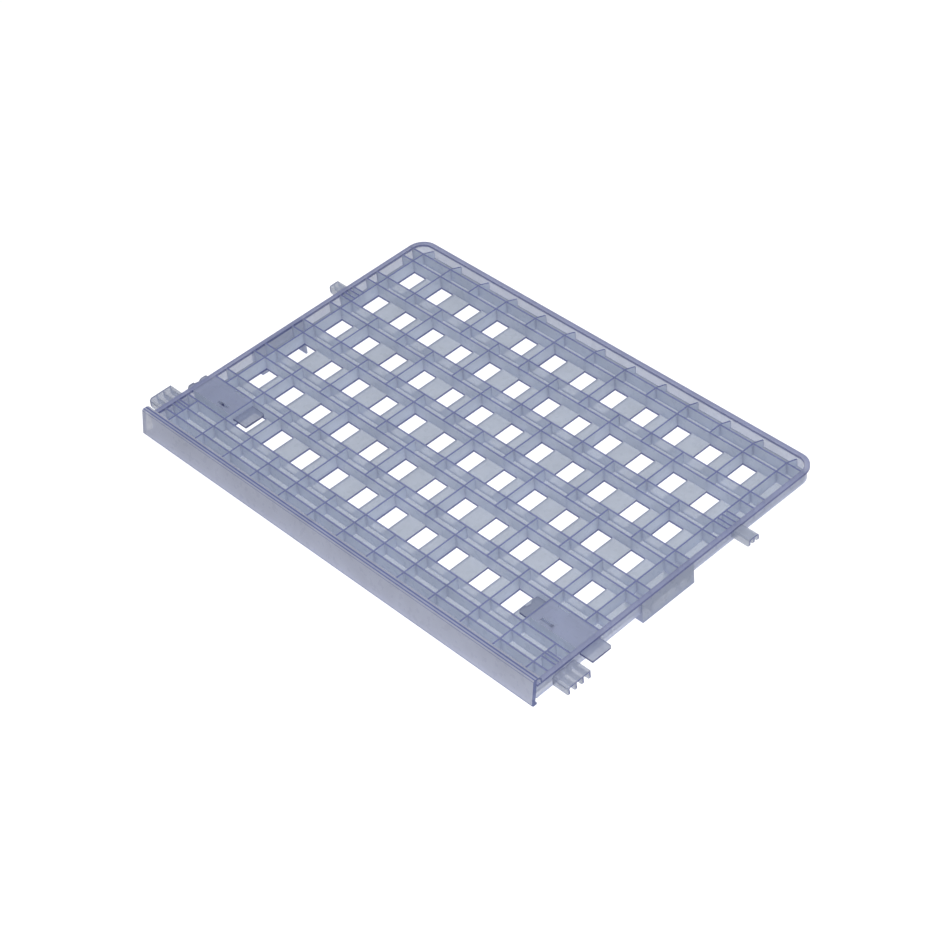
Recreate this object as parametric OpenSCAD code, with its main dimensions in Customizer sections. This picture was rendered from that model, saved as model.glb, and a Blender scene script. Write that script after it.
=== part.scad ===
// Clear moulded grid panel with square windows, a clip-on front fascia, rear pivot pins,
// finned front lugs, two side feet and a sliding latch under each front corner.
// Units are millimetres. X runs along the front, +Y to the back, +Z up.
// Origin: centre of the bounding box in X and Y, on the plane the two side feet rest on.

/* [Grid] */
// Distance from one cross rib to the next
pitch = 33; // [28:0.5:40]
// Number of window columns
columns = 12; // [12:1:12]
// Number of window rows
rows = 6; // [6:1:6]
// Distance from one window row to the next
row_pitch = 40.8; // [36:0.1:46]
// Width of the closed strip between two window rows, rib centre to rib centre
strip_w = 11.8; // [9:0.1:14]
// Width of each of the two closed strips in front of the last window row
front_strip_w = 11.2; // [9:0.1:14]
// Thickness of every rib
rib_t = 1.5; // [1:0.1:2]
// Height of the ribs above the floor plate
rib_h = 10.5; // [8:0.5:14]
// Thickness of the floor plate
floor_t = 2; // [1.5:0.1:3]
// Width of one window, from the rib on its left
window_w = 14.25; // [10:0.25:16]

/* [Rim] */
// From the outermost cross rib to the outer edge of the rim
side_margin = 17.5; // [16:0.5:22]
// From the rearmost long rib to the outer edge of the rim
back_margin = 15.6; // [14:0.2:20]
// From the foremost long rib to the outer face of the front wall
front_margin = 13.7; // [12:0.1:18]
// Thickness of the side, rear and front walls
wall_t = 1.8; // [1.4:0.1:2.4]
// How far the rim stands out beyond the walls
rim_out = 2.2; // [1.5:0.1:3]
// Thickness of the rim
rim_t = 2; // [1.5:0.1:3]
// Outer radius of the two rear corners
corner_r = 15; // [12:1:20]
// How far the top of the rear cross ribs drops towards the rear wall
rear_drop = 4; // [0:0.5:6]

/* [Feet, pins and lugs] */
// Height of the rib tops above the surface the panel rests on
deck_h = 22; // [20:0.5:26]
// Reach of the left rear pivot pin beyond the rim
left_pin_reach = 12.4; // [10:0.1:20]
// Reach of the right rear pivot pin beyond the rim
right_pin_reach = 15; // [10:0.1:20]
// Width of a rear pivot pin
pin_w = 10.6; // [9:0.2:12]
// Height of a rear pivot pin
pin_h = 7.4; // [6:0.2:9]
// Reach of the left front lug beyond the rim
left_lug_reach = 21; // [10:0.5:24]
// Reach of the right front lug beyond the rim
right_lug_reach = 13.5; // [10:0.5:24]
// Distance between the fins of a front lug
lug_fin_pitch = 6.85; // [6:0.05:7.2]
// Height of a front lug
lug_h = 8.6; // [7:0.2:9]

/* [Latches] */
// How far a latch slides in
latch_travel = 8.5; // [6:0.5:9]
// Reach of a latch tongue beyond the rim when it is fully out
latch_reach = 9.8; // [9:0.1:12]
// How far in from there the left latch rests
left_latch_in = 1.7; // [0:0.1:4]
// Length of a latch slider
latch_l = 73.8; // [70:0.1:80]
// Thickness of a latch slider
latch_t = 2; // [1.5:0.1:2.5]
// Gap between a latch slider and its guides
latch_gap = 0.35; // [0.3:0.05:0.5]

/* [Fascia] */
// Length of the front fascia
fascia_l = 433; // [431:1:440]
// Height of the fascia above the rib tops
fascia_up = 7.4; // [6.5:0.1:9]
// Depth of the fascia below the rib tops
fascia_down = 16.4; // [15:0.1:18]
// How far the bottom of the fascia stands in front of its top
fascia_lean = 3.9; // [3:0.1:5]
// Thickness of the fascia plate
fascia_t = 3.4; // [2.6:0.1:3.4]

/* [Hidden] */
$fn = 48;

EPS = 0.01;              // overshoot of a cut past the face it opens
CLEAR = "LightSteelBlue";
FROST = "Lavender";

// Half widths, outwards from the middle of the panel
grid_x = columns * pitch / 2;
rim_x = grid_x + side_margin;
wall_x = rim_x - rim_out;
inner_x = wall_x - wall_t;

// Lengths along Y, from the back edge of the rim to the foot of the fascia
fascia_top_w = 4;
wall_to_fascia = fascia_top_w + fascia_lean;
front_rib_y = -row_pitch * rows - 2 * front_strip_w;
depth = back_margin - front_rib_y + front_margin + wall_to_fascia;
back_rib_y = depth / 2 - back_margin;
rim_y = depth / 2;
rear_wall_y = rim_y - rim_out;
front_wall_y = -depth / 2 + wall_to_fascia;
strip_y = back_rib_y - rows * row_pitch;        // rib in front of the last window row

// Heights
floor_top = deck_h - rib_h;
floor_bot = floor_top - floor_t;
skirt_rear = floor_bot - 1;                     // bottom of the side skirt, just in front of a foot
skirt_front = floor_bot - 3;                    // bottom of the side skirt, at the front wall

// Centre lines of the long ribs that bound window row r, and of the two front ribs
function row_far(r) = back_rib_y - r * row_pitch - strip_w;
function row_near(r) = back_rib_y - (r + 1) * row_pitch;
long_rib_ys = concat(
    [for (r = [0 : rows - 1]) back_rib_y - r * row_pitch],
    [for (r = [0 : rows - 1]) row_far(r)],
    [for (k = [0 : 2]) strip_y - k * front_strip_w]
);
last = rows - 1;

// Cross ribs of window row r: alternate rows carry the odd and the even rib positions.
// The last row leaves the latch corners free, with one rib on each side of them.
function even_cols(first, end) = [for (j = [first : 2 : end]) j];
function row_cols(r) =
    r == last ? concat([1], even_cols(2, columns - 2), [columns - 1])
    : r % 2 == 0 ? concat([0], even_cols(1, columns - 1), [columns])
    : even_cols(0, columns);
function col_x(j) = -grid_x + j * pitch;

// The left lug reaches further than the right one, so the panel is moved to keep the
// origin in the middle of the bounding box
shift_x = (max(left_pin_reach, left_lug_reach) - max(right_pin_reach, right_lug_reach)) / 2;

// Side feet: under row 3, from one closed strip to the next
foot_back_y = back_rib_y - 3 * row_pitch;
foot_front_y = row_far(4);
foot_wall = 1.7;
foot_x = rim_x - 0.3;                           // outer face of the foot
foot_in_x = grid_x - 0.5;                       // inner ends of its cross walls

// Rear pins and front lugs
pin_y = back_rib_y - 74;
pin_top = deck_h - 1.1;
lug_y = strip_y - 9.2;
lug_top = deck_h - 6.4;

// Latch corner
latch_far_y = row_far(last) - rib_t / 2;        // face of the long rib behind the latch
latch_w = 20;
latch_out_x = rim_x + latch_reach;              // tip of the tongue, fully out
latch_back_y = latch_far_y - latch_gap;
latch_top = deck_h - 5;
cover_t = 1.5;
cover_in_x = grid_x - pitch + rib_t / 2;
cover_front_y = latch_back_y - latch_w - 0.5;
skirt_t = 1.2;
nub_l = 2.5;
nub_w = 2.4;
nub_y = latch_back_y - latch_w + 2.6;
nub_play = 0.3;
nub_out_x = grid_x - 13.4;                      // outer face of the nub, fully out
rail_t = 1.4;
rail_ys = [latch_back_y - 4, latch_back_y - 13];

// Fascia: hook radius and thickness, and the step from its front face down to its toe
hook_r = 4.4;
hook_t = 1.5;
fascia_chin = 1.8;
fascia_h = fascia_up + fascia_down - fascia_chin;
function fascia_front(z) = front_wall_y - fascia_top_w
    - fascia_lean * (deck_h + fascia_up - z) / fascia_h;
function fascia_back(z) = fascia_front(z) + fascia_t;

// Side -1 mirrors the children to the left, side 1 leaves them on the right
module on_side(side) {
    if (side < 0) mirror([1, 0, 0]) children(); else children();
}

// A finished node on its side, moved to the part's origin
module place(side = 1) {
    translate([shift_x, 0, 0]) on_side(side) children();
}

// A bar between two corners
module bar(low, high) {
    translate(low) cube([high[0] - low[0], high[1] - low[1], high[2] - low[2]]);
}

// A rib along Y at x, with the given ends
module cross_rib(x, y0, y1, z0 = floor_top, z1 = deck_h) {
    bar([x - rib_t / 2, y0, z0], [x + rib_t / 2, y1, z1]);
}

// A profile drawn in Y and Z, extruded along X from x0 to x1
module along_x(x0, x1) {
    translate([x0, 0, 0]) rotate([90, 0, 90]) linear_extrude(x1 - x0) children();
}

// A profile drawn in X and Z, extruded along Y from y0 to y1
module along_y(y0, y1) {
    translate([0, y1, 0]) rotate([90, 0, 0]) linear_extrude(y1 - y0) children();
}

// Outline of the space inside the walls, with the round rear corners
module inside_outline() {
    r = corner_r - rim_out - wall_t;
    front = front_wall_y + wall_t;
    back = rear_wall_y - wall_t;
    union() {
        translate([-inner_x, front]) square([2 * inner_x, back - r - front]);
        translate([-inner_x + r, back - r]) square([2 * (inner_x - r), r]);
        for (s = [-1, 1]) translate([s * (inner_x - r), back - r]) circle(r);
    }
}

module floor_plate() {
    color(FROST) place() translate([0, 0, floor_bot]) linear_extrude(floor_t) difference() {
        inside_outline();
        for (r = [0 : last]) {
            first = r == last ? 1 : 0;
            for (j = [first : columns - 1 - first])
                translate([col_x(j) + rib_t / 2, row_near(r) + rib_t / 2])
                    square([window_w, row_far(r) - row_near(r) - rib_t]);
        }
    }
}

module long_ribs() {
    color(CLEAR) place() for (y = long_rib_ys)
        bar([-inner_x, y - rib_t / 2, floor_top], [inner_x, y + rib_t / 2, deck_h]);
}

// One run of cross ribs between two long ribs, at the rib positions in cols
module rib_run(cols, far, near) {
    for (j = cols) cross_rib(col_x(j), near + rib_t / 2, far - rib_t / 2);
}

// Opening that lets a latch slider through a rib or a wall
module latch_gate(x0, x1) {
    bar([x0, cover_front_y, latch_top - latch_t - latch_gap],
        [x1, latch_far_y + EPS, latch_top + latch_gap]);
}

module cross_ribs() {
    all_cols = [0 : columns];
    rear_face = rear_wall_y - wall_t;
    color(CLEAR) place() difference() {
        union() {
            for (j = all_cols) translate([col_x(j) - rib_t / 2, 0, 0]) along_x(0, rib_t)
                polygon([[back_rib_y + rib_t / 2, floor_top], [rear_face, floor_top],
                         [rear_face, deck_h - rear_drop], [back_rib_y + rib_t / 2, deck_h]]);
            for (r = [0 : last]) {
                rib_run(all_cols, back_rib_y - r * row_pitch, row_far(r));
                rib_run(row_cols(r), row_far(r), row_near(r));
            }
            for (k = [0 : 1])
                rib_run(all_cols, strip_y - k * front_strip_w, strip_y - (k + 1) * front_strip_w);
            for (j = all_cols)
                cross_rib(col_x(j), front_wall_y + wall_t, strip_y - 2 * front_strip_w - rib_t / 2);
        }
        for (side = [-1, 1]) on_side(side)
            latch_gate(cover_in_x - rib_t - EPS, cover_in_x + EPS);
    }
}

// Wall with the rim on top of it: u runs outwards from the inner face of the wall
module rim_section() {
    translate([0, floor_bot]) square([wall_t, deck_h - floor_bot]);
    translate([wall_t - EPS, deck_h - rim_t]) square([rim_out + EPS, rim_t]);
}

module rear_rim() {
    r = corner_r - rim_out - wall_t;
    color(CLEAR) place() union() {
        translate([-(inner_x - r), rear_wall_y - wall_t, 0]) rotate([90, 0, 90])
            linear_extrude(2 * (inner_x - r)) rim_section();
        for (side = [-1, 1]) on_side(side)
            translate([inner_x - r, rear_wall_y - wall_t - r, 0])
                rotate_extrude(angle = 90, $fn = 64) translate([r, 0]) rim_section();
    }
}

// Right side wall with its rim and the skirt that deepens towards the front
module side_rim() {
    back = rim_y - corner_r;
    difference() {
        union() {
            translate([inner_x, 0, 0]) along_y(front_wall_y, back) rim_section();
            along_x(inner_x, wall_x) polygon([
                [front_wall_y, floor_bot + EPS], [foot_front_y - foot_wall, floor_bot + EPS],
                [foot_front_y - foot_wall, skirt_rear], [front_wall_y, skirt_front]]);
        }
        latch_gate(inner_x - EPS, wall_x + EPS);
    }
}

module left_side_rim() { color(CLEAR) place(-1) side_rim(); }
module right_side_rim() { color(CLEAR) place() side_rim(); }

// Front wall: its top reaches up into the hook of the fascia, and the rail on its
// outside bears on the back of the fascia
module front_wall() {
    top = deck_h + fascia_up - hook_t - 1.4;
    rail_y = fascia_back(floor_bot + rail_t) + 0.1;
    color(CLEAR) place() union() {
        bar([-inner_x, front_wall_y, floor_bot], [inner_x, front_wall_y + wall_t, top]);
        bar([-inner_x, rail_y, floor_bot], [inner_x, front_wall_y + EPS, floor_bot + rail_t]);
    }
}

// Short ribs in the side channel that carry the root of the rear pin and of the front lug
module channel_ribs() {
    for (y = [pin_y + 6.6, pin_y + 1.7, pin_y - 3.2, lug_y + 0.6, lug_y - 5.6])
        bar([grid_x + rib_t / 2, y - rib_t / 2, floor_top], [inner_x, y + rib_t / 2, deck_h]);
}

module left_channel_ribs() { color(CLEAR) place(-1) channel_ribs(); }
module right_channel_ribs() { color(CLEAR) place() channel_ribs(); }

// Foot: a skin flush with the side, two end walls whose bottom edges rise inwards, and
// two cross ribs in between that reach the full depth
module side_foot() {
    back = foot_back_y + rib_t / 2;
    front = foot_front_y - rib_t / 2;
    flat_l = 9;                                 // level part of an end wall's bottom edge
    rise = 6.5;
    bar([wall_x, front, 0], [foot_x, back, deck_h - rim_t]);
    for (y = [front, back - foot_wall])
        along_y(y, y + foot_wall) polygon([
            [wall_x + EPS, 0], [wall_x - flat_l, 0], [foot_in_x, rise],
            [foot_in_x, floor_bot], [wall_x + EPS, floor_bot]]);
    for (y = [row_far(3), row_near(3)])
        bar([foot_in_x, y - rib_t / 2, 0], [wall_x + EPS, y + rib_t / 2, floor_bot]);
}

module left_side_foot() { color(CLEAR) place(-1) side_foot(); }
module right_side_foot() { color(CLEAR) place() side_foot(); }

// Fin with a rounded lower outer corner, in X and Z, below and inside the point [0, 0]
module fin_outline(reach, h, r) {
    union() {
        translate([-reach, -h]) square([reach - r, h]);
        translate([-r - EPS, -h + r]) square([r + EPS, h - r]);
        translate([-r, -h + r]) circle(r);
    }
}

// Pivot pin: a plate with a round back edge and a bevelled front edge, on three fins
module rear_pin(reach) {
    out_x = rim_x + reach;
    plate_t = 1.6;
    fin_t = 1.4;
    half = pin_w / 2;
    round_r = 2.4;                              // back edge, and the tips of the fins
    bevel = 1.6;
    difference() {
        union() {
            along_x(wall_x, out_x) difference() {
                translate([pin_y - half, pin_top - plate_t - round_r])
                    square([pin_w, plate_t + round_r]);
                translate([pin_y - half + fin_t, pin_top - plate_t - round_r - EPS])
                    square([pin_w - 2 * fin_t, round_r + EPS]);
                translate([pin_y - half, pin_top]) rotate(45) square(bevel, center = true);
                translate([pin_y + half - round_r, pin_top - round_r]) difference() {
                    square(round_r + 1);
                    circle(round_r);
                }
            }
            for (k = [-1, 0, 1]) {
                y = pin_y + k * (half - fin_t / 2);
                top = pin_top - plate_t + EPS - abs(k) * round_r;
                translate([out_x, 0, top]) along_y(y - fin_t / 2, y + fin_t / 2)
                    fin_outline(out_x - wall_x, pin_h - (pin_top - top), round_r);
            }
        }
        // room for the rim above the root of the pin
        bar([wall_x - 1, pin_y - pin_w, deck_h - rim_t], [rim_x, pin_y + pin_w, deck_h]);
    }
}

module left_rear_pin() { color(FROST) place(-1) rear_pin(left_pin_reach); }
module right_rear_pin() { color(FROST) place() rear_pin(right_pin_reach); }

// Front lug: a plate with a bevelled front edge on four fins
module front_lug(reach) {
    out_x = rim_x + reach;
    plate_t = 1.5;
    fin_t = 1.4;
    bevel = 1.8;
    fin_r = 2.2;
    half = 1.5 * lug_fin_pitch + fin_t / 2;
    union() {
        along_x(wall_x, out_x) polygon([
            [lug_y - half, lug_top - plate_t - bevel], [lug_y - half, lug_top - bevel],
            [lug_y - half + bevel, lug_top], [lug_y + half, lug_top],
            [lug_y + half, lug_top - plate_t], [lug_y - half + bevel, lug_top - plate_t]]);
        for (k = [-1.5 : 1 : 1.5]) {
            y = lug_y + k * lug_fin_pitch;
            drop = k < -1 ? bevel : 0;
            translate([out_x, 0, lug_top - plate_t - drop + EPS])
                along_y(y - fin_t / 2, y + fin_t / 2)
                    fin_outline(out_x - wall_x, lug_h - plate_t - drop, fin_r);
        }
    }
}

module left_front_lug() { color(FROST) place(-1) front_lug(left_lug_reach); }
module right_front_lug() { color(FROST) place() front_lug(right_lug_reach); }

// Smooth cover over the latch, with the slot that the nub runs in, a notch as long as
// the slot along its back edge, a front skirt and two hold-down ribs
module latch_cover() {
    slot_x0 = nub_out_x - nub_l - latch_travel - nub_play;
    slot_x1 = nub_out_x + nub_play;
    slot_w = nub_w + 2 * nub_play;
    notch_w = 1.8;
    difference() {
        union() {
            bar([cover_in_x, cover_front_y - skirt_t, deck_h - cover_t],
                [inner_x, latch_far_y, deck_h]);
            bar([cover_in_x, cover_front_y - skirt_t, floor_top],
                [inner_x, cover_front_y, deck_h - cover_t + EPS]);
            for (y = rail_ys)
                bar([cover_in_x, y - rail_t / 2, latch_top + latch_gap],
                    [inner_x, y + rail_t / 2, deck_h - cover_t + EPS]);
        }
        bar([slot_x0, nub_y - slot_w / 2, deck_h - cover_t - EPS],
            [slot_x1, nub_y + slot_w / 2, deck_h + EPS]);
        bar([slot_x0, latch_far_y - notch_w, deck_h - cover_t - EPS],
            [slot_x1, latch_far_y + EPS, deck_h + EPS]);
    }
}

module left_latch_cover() { color(CLEAR) place(-1) latch_cover(); }
module right_latch_cover() { color(CLEAR) place() latch_cover(); }

// Two rails on the floor that the slider runs on
module latch_rails() {
    for (y = rail_ys)
        bar([cover_in_x, y - rail_t / 2, floor_top],
            [inner_x, y + rail_t / 2, latch_top - latch_t - latch_gap]);
}

module left_latch_rails() { color(CLEAR) place(-1) latch_rails(); }
module right_latch_rails() { color(CLEAR) place() latch_rails(); }

// Outline of the slider: two teeth at its left end, a round back corner at its right
// end. Its back right corner is at the point [0, 0].
module latch_outline() {
    back_r = 2.5;
    front_r = 0.8;
    union() {
        polygon([[-latch_l + 0.8, 0], [-latch_l, -0.8], [-latch_l, -5.3],
                 [-latch_l + 2.3, -9], [-latch_l + 1.6, -12.6], [-latch_l, -12.9],
                 [-latch_l, -17.6], [-latch_l + 1.8, -latch_w],
                 [-front_r, -latch_w], [-front_r, -back_r], [-back_r, -back_r],
                 [-back_r, 0]]);
        translate([-front_r - EPS, -latch_w + front_r])
            square([front_r + EPS, latch_w - front_r - back_r]);
        translate([-back_r, -back_r]) circle(back_r);
        translate([-front_r, -latch_w + front_r]) circle(front_r);
    }
}

// Slider with its right end at x1 and its nub from nub_x to nub_x + nub_l
module latch(x1, nub_x) {
    step_w = 6.8;                               // lower band along the back edge
    step_h = 0.5;
    difference() {
        union() {
            translate([x1, latch_back_y, latch_top - latch_t])
                linear_extrude(latch_t) latch_outline();
            bar([nub_x, nub_y - nub_w / 2, latch_top - EPS],
                [nub_x + nub_l, nub_y + nub_w / 2, deck_h - 0.3]);
        }
        bar([x1 - latch_l - 1, latch_back_y - step_w, latch_top - step_h],
            [x1 + 1, latch_back_y + 1, latch_top + 1]);
    }
}

// Both sliders lie the same way round: the tongue is the toothed end on the left, and
// the plain end on the right
module left_latch() {
    color(CLEAR) place() latch(-latch_out_x + left_latch_in + latch_l, -nub_out_x + left_latch_in);
}
module right_latch() { color(CLEAR) place() latch(latch_out_x, nub_out_x - nub_l); }

// Fascia: a leaning plate with a hook along its top that hangs over the front wall,
// and a toe along its bottom
module front_fascia() {
    top = deck_h + fascia_up;
    bot = deck_h - fascia_down;
    chin = bot + fascia_chin;
    hook_y = front_wall_y - 0.6;
    hook_z = top - hook_r;
    lap = 0.3;                                  // overlap of the hook with its neighbours
    color(CLEAR) place() union() {
        along_x(-fascia_l / 2, fascia_l / 2) polygon([
            [fascia_front(top - 1), top - 1], [fascia_front(top) + 0.8, top],
            [hook_y - lap, top], [hook_y - lap, top - hook_t - 0.2],
            [fascia_back(top - 3), top - 3], [fascia_back(bot + 2), bot + 2],
            [front_wall_y - 3, bot + 2], [front_wall_y - 3, bot],
            [fascia_front(chin) + 1.5, bot], [fascia_front(chin), chin]]);
        along_x(-fascia_l / 2, fascia_l / 2) intersection() {
            translate([hook_y, hook_z]) difference() {
                circle(hook_r);
                circle(hook_r - hook_t);
            }
            translate([hook_y - 2 * lap, hook_z - 2 * lap]) square(hook_r + 2 * lap);
        }
        bar([-fascia_l / 2, hook_y + hook_r - hook_t, deck_h + 0.3],
            [fascia_l / 2, hook_y + hook_r, hook_z - lap]);
    }
}

floor_plate();
long_ribs();
cross_ribs();
rear_rim();
left_side_rim();
right_side_rim();
front_wall();
left_channel_ribs();
right_channel_ribs();
left_side_foot();
right_side_foot();
left_rear_pin();
right_rear_pin();
left_front_lug();
right_front_lug();
left_latch_cover();
right_latch_cover();
left_latch_rails();
right_latch_rails();
left_latch();
right_latch();
front_fascia();
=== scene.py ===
import math
import bpy
from mathutils import Matrix, Vector


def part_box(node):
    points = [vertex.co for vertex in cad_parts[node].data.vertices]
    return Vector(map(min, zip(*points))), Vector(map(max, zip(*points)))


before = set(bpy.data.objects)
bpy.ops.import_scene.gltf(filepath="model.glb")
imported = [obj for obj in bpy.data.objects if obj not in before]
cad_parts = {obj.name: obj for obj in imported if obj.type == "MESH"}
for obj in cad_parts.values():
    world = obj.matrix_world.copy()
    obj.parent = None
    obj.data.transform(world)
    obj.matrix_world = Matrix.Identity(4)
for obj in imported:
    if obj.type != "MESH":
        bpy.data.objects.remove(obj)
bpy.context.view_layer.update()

# Lengths are metres and angles are degrees
MM = 0.001

# Camera: the point it looks at, its angles around it, its distance and its lens
AIM = Vector((0.0337, -0.0248, 0.022))
AZIMUTH, ELEVATION, ROLL = 50.27, 42.43, -6.47
DISTANCE = 1.8176
FOCAL_MM, SENSOR_MM = 91.77, 36.0

# Light: brightness of the white surroundings as a light and as a backdrop, and each soft
# box as place, size and watts
SKY = 0.42
BACKDROP = 1.0
SOFT_BOXES = {
    "key": ((1.3, -1.2, 1.8), (1.2, 1.2), 60),
    "top": ((-0.3, 0.6, 2.0), (2.0, 1.2), 36),
}

# Floor: a disc, as far out as the lamps keep it white, a little below the feet
FLOOR_RADIUS = 1.05
FLOOR_SIDES = 96
FLOOR_GAP = 0.5 * MM
FLOOR_SHADE = 0.74
FLOOR_ROUGHNESS = 0.9

# Which way the thin edges of a wall point, as weights of X, Y and Z. An edge gets painted
# shade: it is painted bluer and denser than the faces, for the dark a clear wall shows when
# looked at through its whole depth.
FLAT = (1, 1, 0)          # plates: the cut edges are upright
HOODED_PAINTED_LIGHT = (0, 1, 0)        # a plate with an apron: only the apron, painted lighter than the top as painted light, for the lamp light the upright apron gets less of
ALONG_X = (1, 0, 1)       # walls along X: top, bottom and ends
ALONG_Y = (0, 1, 1)       # walls along Y
SKIN = (0, 0.6, 1)        # a wall along Y with cross walls behind it
ENDS = (1, 0, 0)          # profiles along X: only the ends
RIM = (0, 0, 0.7)         # a broad rim: its top is more than half an edge
HOOK = (1, 0, 0.55)       # a plate along X with a broad hook, whose top is a quarter edge

# The weighted normal at which a surface starts to be an edge, and is one
EDGE_START, EDGE_FULL = 0.45, 0.85

# Colours of the blue-tinted clear plastic: faces along X, faces along Y painted lighter as
# painted light, and edges painted dark as painted shade
WALL = (0.42, 0.462, 0.555)
CROSS_WALL_PAINTED_LIGHTER = (0.465, 0.51, 0.605)
# Edge colour: painted shade, the dark of looking along a clear wall's depth
EDGE_PAINTED_SHADE = (0.13, 0.148, 0.29)

# Finishes: edge weights, share of light that a face stops, colour of faces and of edges; the
# edge colour is painted shade, and painted light on the cover's apron
FINISHES = {
    "floor": (FLAT, 0.68, (0.275, 0.305, 0.362), (0.08, 0.09, 0.225)),
    "rib_x": (ALONG_X, 0.64, WALL, EDGE_PAINTED_SHADE),
    # cross ribs: the same plastic as rib_x, painted lighter as painted light
    "rib_y": (ALONG_Y, 0.64, CROSS_WALL_PAINTED_LIGHTER, EDGE_PAINTED_SHADE),
    "rim": (RIM, 0.60, (0.41, 0.44, 0.535), (0.115, 0.13, 0.27)),
    "foot": (SKIN, 0.75, (0.30, 0.33, 0.41), EDGE_PAINTED_SHADE),
    "pin": (ENDS, 0.58, (0.27, 0.298, 0.37), EDGE_PAINTED_SHADE),
    "lug": (ENDS, 0.58, (0.225, 0.25, 0.325), EDGE_PAINTED_SHADE),
    # latch covers: the apron takes the lighter WALL colour as painted light
    "cover": (HOODED_PAINTED_LIGHT, 0.60, (0.262, 0.288, 0.39), WALL),
    "slider": (FLAT, 0.64, (0.19, 0.215, 0.295), (0.08, 0.09, 0.20)),
    "fascia": (HOOK, 0.70, (0.41, 0.428, 0.50), (0.095, 0.118, 0.265)),
}
EDGE_SHARE = 0.88         # share of light that an edge stops, raised as part of its painted shade
MILK = 0.45               # share of the plastic's own colour that is lit from behind
REFRACTION = 1.5
SPECULAR = 0.3

# Soft noise in the plastic: its detail, the span of its raw values that is used, then for
# each use how fine it is per metre and its lowest and highest value
NOISE_DETAIL = 3
NOISE_LOW, NOISE_HIGH = 0.3, 0.7
TONE_CLOUDS = (45, 0.95, 1.05)
ROUGHNESS_CLOUDS = (160, 0.24, 0.36)
BUMP_CLOUDS = (500, 0, 1)
BUMP_STRENGTH = 0.04
BUMP_DEPTH = 0.05 * MM

FINISH_OF = {
    "floor_plate": "floor",
    "long_ribs": "rib_x",
    "left_channel_ribs": "rib_x",
    "right_channel_ribs": "rib_x",
    "left_latch_rails": "rib_x",
    "right_latch_rails": "rib_x",
    "cross_ribs": "rib_y",
    "rear_rim": "rim",
    "left_side_rim": "rim",
    "right_side_rim": "rim",
    "front_wall": "rim",
    "left_side_foot": "foot",
    "right_side_foot": "foot",
    "left_rear_pin": "pin",
    "right_rear_pin": "pin",
    "left_front_lug": "lug",
    "right_front_lug": "lug",
    "left_latch_cover": "cover",
    "right_latch_cover": "cover",
    "left_latch": "slider",
    "right_latch": "slider",
    "front_fascia": "fascia",
}

# Lips: a finish whose upright faces turn into a dark line of painted edge shade near the top,
# with the node that sets the top and how far down the line goes
LIPS = {"rim": ("rear_rim", 2.1 * MM), "fascia": ("front_fascia", 1.3 * MM)}
UPRIGHT_START, UPRIGHT_FULL = 0.5, 0.2      # slope at which a face starts to count as upright

# Stripes: a finish with dark lines of painted edge shade along X, with the node they are
# measured from, how far down from its top they may lie, and how far behind its front each is
# and half its width
STRIPES = {"fascia": ("front_fascia", 7.0 * MM, ((5.2 * MM, 0.4 * MM), (7.7 * MM, 0.6 * MM)))}
# The toe below them: the heights where it starts to darken and is darkest, and how dark
TOE = (3.0 * MM, 2.0 * MM, 0.7)
LINE_SHARP = 0.2 * MM                       # width over which a line fades out


def make_camera():
    data = bpy.data.cameras.new("camera")
    data.lens = FOCAL_MM
    data.sensor_width = SENSOR_MM
    cam = bpy.data.objects.new("camera", data)
    bpy.context.collection.objects.link(cam)
    az, el = math.radians(AZIMUTH), math.radians(ELEVATION)
    out = Vector((math.sin(az) * math.cos(el), -math.cos(az) * math.cos(el), math.sin(el)))
    turn = out.to_track_quat("Z", "Y").to_matrix().to_4x4()
    roll = Matrix.Rotation(math.radians(ROLL), 4, "Z")
    cam.matrix_world = Matrix.Translation(AIM + out * DISTANCE) @ turn @ roll
    bpy.context.scene.camera = cam


def make_floor():
    turns = [math.tau * side / FLOOR_SIDES for side in range(FLOOR_SIDES)]
    rim = [(FLOOR_RADIUS * math.cos(turn), FLOOR_RADIUS * math.sin(turn), 0) for turn in turns]
    mesh = bpy.data.meshes.new("floor")
    mesh.from_pydata(rim, [], [range(FLOOR_SIDES)])
    floor = bpy.data.objects.new("floor", mesh)
    floor.location.z = -FLOOR_GAP
    bpy.context.collection.objects.link(floor)
    mat = bpy.data.materials.new("floor_white")
    mat.use_nodes = True
    shader = mat.node_tree.nodes["Principled BSDF"]
    shader.inputs["Base Color"].default_value = (FLOOR_SHADE, FLOOR_SHADE, FLOOR_SHADE, 1)
    shader.inputs["Roughness"].default_value = FLOOR_ROUGHNESS
    mesh.materials.append(mat)


def make_lights():
    world = bpy.data.worlds.new("studio")
    world.use_nodes = True
    tree = world.node_tree
    sky = tree.nodes["Background"]
    sky.inputs["Color"].default_value = (1, 1, 1, 1)
    seen = add(tree, "ShaderNodeLightPath").outputs["Is Camera Ray"]
    tree.links.new(ramped(tree, seen, 0, 1, SKY, BACKDROP), sky.inputs["Strength"])
    bpy.context.scene.world = world
    bpy.context.scene.view_settings.view_transform = "Standard"
    for name, (place, size, watts) in SOFT_BOXES.items():
        data = bpy.data.lights.new(name, "AREA")
        data.shape = "RECTANGLE"
        data.size, data.size_y = size
        data.energy = watts
        lamp = bpy.data.objects.new(name, data)
        lamp.location = place
        lamp.rotation_euler = (AIM - Vector(place)).to_track_quat("-Z", "Y").to_euler()
        bpy.context.collection.objects.link(lamp)


def add(tree, kind, **settings):
    """A new shader node with its settings."""
    made = tree.nodes.new(kind)
    for name, value in settings.items():
        setattr(made, name, value)
    return made


def ramped(tree, value, start, end, low=0.0, high=1.0):
    """value, brought from start..end to low..high."""
    ramp = add(tree, "ShaderNodeMapRange")
    ramp.inputs["From Min"].default_value = start
    ramp.inputs["From Max"].default_value = end
    ramp.inputs["To Min"].default_value = low
    ramp.inputs["To Max"].default_value = high
    tree.links.new(value, ramp.inputs["Value"])
    return ramp.outputs["Result"]


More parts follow.
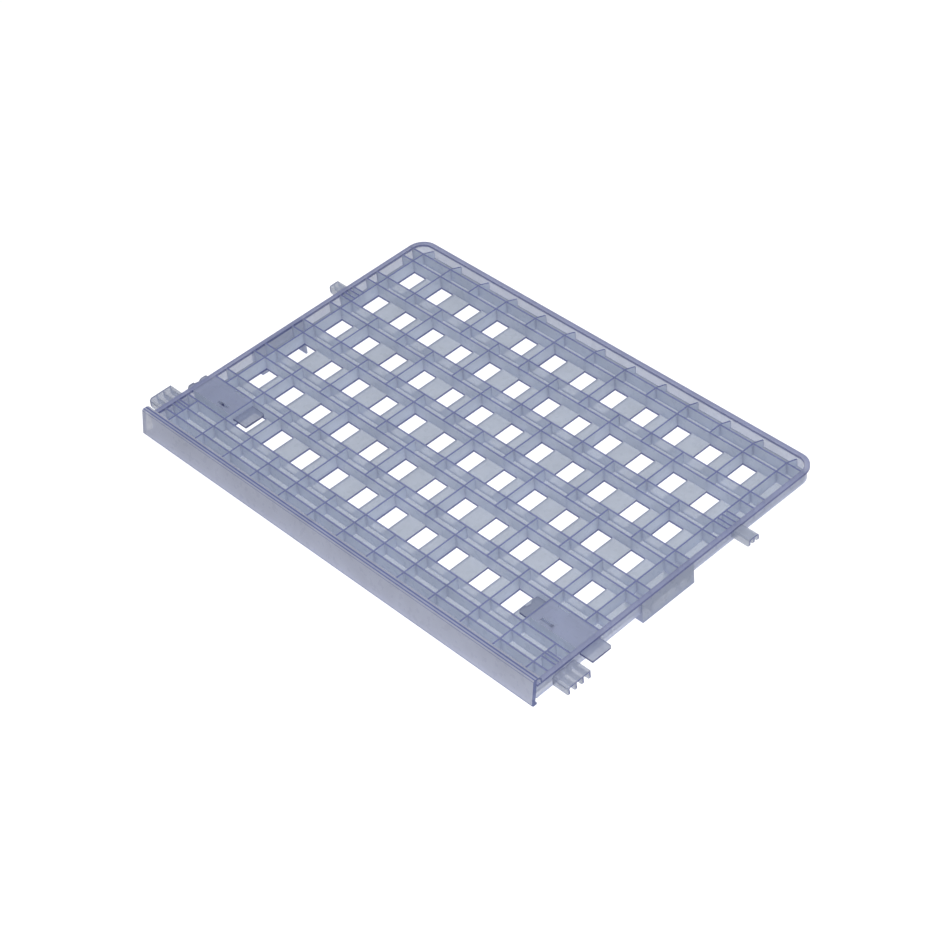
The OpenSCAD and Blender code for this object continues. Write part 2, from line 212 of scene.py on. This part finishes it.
def clouded(tree, per_metre, low, high):
    """A soft noise that runs through the part, as a number from low to high."""
    place = add(tree, "ShaderNodeTexCoord")
    noise = add(tree, "ShaderNodeTexNoise")
    noise.inputs["Scale"].default_value = per_metre
    noise.inputs["Detail"].default_value = NOISE_DETAIL
    tree.links.new(place.outputs["Object"], noise.inputs["Vector"])
    return ramped(tree, noise.outputs["Fac"], NOISE_LOW, NOISE_HIGH, low, high)


def maths(tree, operation, *values):
    """The result of a Math node on numbers and outputs of other nodes."""
    made = add(tree, "ShaderNodeMath", operation=operation)
    for socket, value in zip(made.inputs, values):
        if isinstance(value, (int, float)):
            socket.default_value = value
        else:
            tree.links.new(value, socket)
    return made.outputs["Value"]


def part_of(tree, vector, axis):
    """One coordinate of a vector."""
    split = add(tree, "ShaderNodeSeparateXYZ")
    tree.links.new(vector, split.inputs[0])
    return split.outputs[axis]


def with_lip(tree, mask, lip, place, facing):
    """mask, raised to 1 on the upright faces just below the top of a node."""
    node, depth = lip
    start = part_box(node)[1][2] - depth
    high = ramped(tree, part_of(tree, place, "Z"), start - LINE_SHARP, start)
    upright = ramped(tree, part_of(tree, facing, "Z"), UPRIGHT_START, UPRIGHT_FULL)
    return maths(tree, "MAXIMUM", mask, maths(tree, "MULTIPLY", high, upright))


def with_stripes(tree, mask, stripes, place):
    """mask, raised to 1 on lines along the top of a node, and raised on its toe."""
    node, reach, lines = stripes
    (_, front, bottom), (_, _, top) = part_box(node)
    height = part_of(tree, place, "Z")
    depth = part_of(tree, place, "Y")
    above = ramped(tree, height, top - reach - LINE_SHARP, top - reach)
    for behind, half in lines:
        away = maths(tree, "ABSOLUTE", maths(tree, "SUBTRACT", depth, front + behind))
        line = ramped(tree, away, half + LINE_SHARP, half)
        mask = maths(tree, "MAXIMUM", mask, maths(tree, "MULTIPLY", above, line))
    start, full, most = TOE
    toe = ramped(tree, height, bottom + start, bottom + full, 0, most)
    return maths(tree, "MAXIMUM", mask, toe)


def edge_mask(tree, edges, lip, stripes):
    """1 on the thin edges of a wall, where the painted edge shade goes (painted light on the
    cover's apron), and 0 on its faces, from the way the surface points.
    """
    shape = add(tree, "ShaderNodeNewGeometry")
    size = add(tree, "ShaderNodeVectorMath", operation="ABSOLUTE")
    weigh = add(tree, "ShaderNodeVectorMath", operation="DOT_PRODUCT")
    weigh.inputs[1].default_value = edges
    tree.links.new(shape.outputs["Normal"], size.inputs[0])
    tree.links.new(size.outputs["Vector"], weigh.inputs[0])
    mask = ramped(tree, weigh.outputs["Value"], EDGE_START, EDGE_FULL)
    if lip:
        mask = with_lip(tree, mask, lip, shape.outputs["Position"], size.outputs["Vector"])
    if stripes:
        mask = with_stripes(tree, mask, stripes, shape.outputs["Position"])
    return mask


def moulded_plastic(name, edges, share, face, line, lip, stripes):
    """Blue-tinted clear plastic, a little milky, with thin edges painted denser: dark as
    painted shade, and light on the cover's apron as painted light.
    """
    mat = bpy.data.materials.new(name)
    mat.use_nodes = True
    tree = mat.node_tree
    link = tree.links.new
    mask = edge_mask(tree, edges, lip, stripes)

    tone = add(tree, "ShaderNodeMix", data_type="RGBA")
    tone.inputs["A"].default_value = (*face, 1)
    tone.inputs["B"].default_value = (*line, 1)
    link(mask, tone.inputs["Factor"])
    cloud = add(tree, "ShaderNodeVectorMath", operation="SCALE")
    link(tone.outputs["Result"], cloud.inputs[0])
    link(clouded(tree, *TONE_CLOUDS), cloud.inputs["Scale"])
    colour = cloud.outputs["Vector"]

    body = tree.nodes["Principled BSDF"]
    body.inputs["IOR"].default_value = REFRACTION
    body.inputs["Specular IOR Level"].default_value = SPECULAR
    link(colour, body.inputs["Base Color"])
    link(clouded(tree, *ROUGHNESS_CLOUDS), body.inputs["Roughness"])
    bump = add(tree, "ShaderNodeBump")
    bump.inputs["Strength"].default_value = BUMP_STRENGTH
    bump.inputs["Distance"].default_value = BUMP_DEPTH
    link(clouded(tree, *BUMP_CLOUDS), bump.inputs["Height"])
    link(bump.outputs["Normal"], body.inputs["Normal"])

    glow = add(tree, "ShaderNodeBsdfTranslucent")
    link(colour, glow.inputs["Color"])
    milk = add(tree, "ShaderNodeMixShader")
    milk.inputs["Fac"].default_value = MILK
    link(body.outputs["BSDF"], milk.inputs[1])
    link(glow.outputs["BSDF"], milk.inputs[2])

    clear = add(tree, "ShaderNodeBsdfTransparent")
    seen = add(tree, "ShaderNodeMixShader")
    link(ramped(tree, mask, 0, 1, share, EDGE_SHARE), seen.inputs["Fac"])
    link(clear.outputs["BSDF"], seen.inputs[1])
    link(milk.outputs["Shader"], seen.inputs[2])
    link(seen.outputs["Shader"], tree.nodes["Material Output"].inputs["Surface"])
    return mat


def dress_parts():
    finishes = {
        name: moulded_plastic("plastic_" + name, *spec, LIPS.get(name), STRIPES.get(name))
        for name, spec in FINISHES.items()
    }
    for name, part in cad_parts.items():
        part.data.materials.clear()
        part.data.materials.append(finishes[FINISH_OF[name]])
        part.visible_shadow = False     # clear plastic lets the lamps through


make_camera()
make_floor()
make_lights()
dress_parts()
